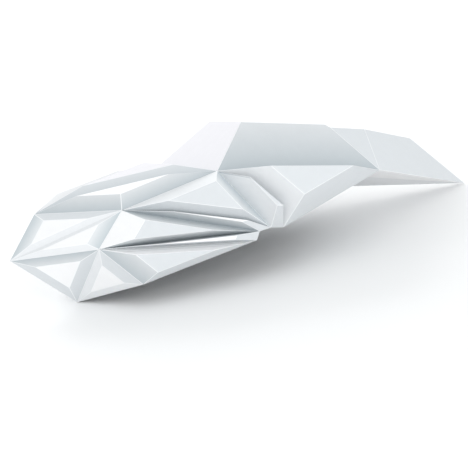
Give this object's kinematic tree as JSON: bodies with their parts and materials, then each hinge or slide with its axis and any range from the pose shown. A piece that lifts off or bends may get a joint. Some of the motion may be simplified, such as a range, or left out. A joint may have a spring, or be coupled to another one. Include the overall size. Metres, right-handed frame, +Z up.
{
  "type": "folded card head mask",
  "caption": "Faceted head mask of folded white card: pointed beak, boxed cheek panels, side wings, raised crown and a long pointed tail, open underneath for the head.",
  "frame": {"origin": "on the table, under the middle of the mask's footprint", "axes": "+X from the beak to the tail tip, +Y towards the wearer's right side, +Z up from the table that the mask lies on"},
  "size_m": [0.612, 0.3158, 0.1622],
  "materials": {
    "card": "matte, faint fibre grain"
  },
  "bodies": {
    "root": {"snout_upper_left": "card", "snout_lower_left": "card", "beak_front_left": "card", "beak_side_left": "card", "brow_left": "card", "temple_left": "card", "pleat_upper_left": "card", "cheek_upper_left": "card", "pleat_lower_left": "card", "cheek_lower_left": "card", "fin_left": "card", "wing_left": "card", "crown_side_left": "card", "tail_root_left": "card", "tail_wing_left": "card", "tail_under_left": "card", "tail_keel_left": "card", "wing_under_left": "card", "nape_left": "card", "snout_upper_right": "card", "snout_lower_right": "card", "beak_front_right": "card", "beak_side_right": "card", "brow_right": "card", "temple_right": "card", "pleat_upper_right": "card", "cheek_upper_right": "card", "pleat_lower_right": "card", "cheek_lower_right": "card", "fin_right": "card", "wing_right": "card", "crown_side_right": "card", "tail_root_right": "card", "tail_wing_right": "card", "tail_under_right": "card", "tail_keel_right": "card", "wing_under_right": "card", "nape_right": "card", "crest": "card", "crown_front": "card", "crown_top": "card", "crown_back": "card", "tail_top": "card", "tail_slope": "card", "tail_end": "card"}
  },
  "joints": []
}
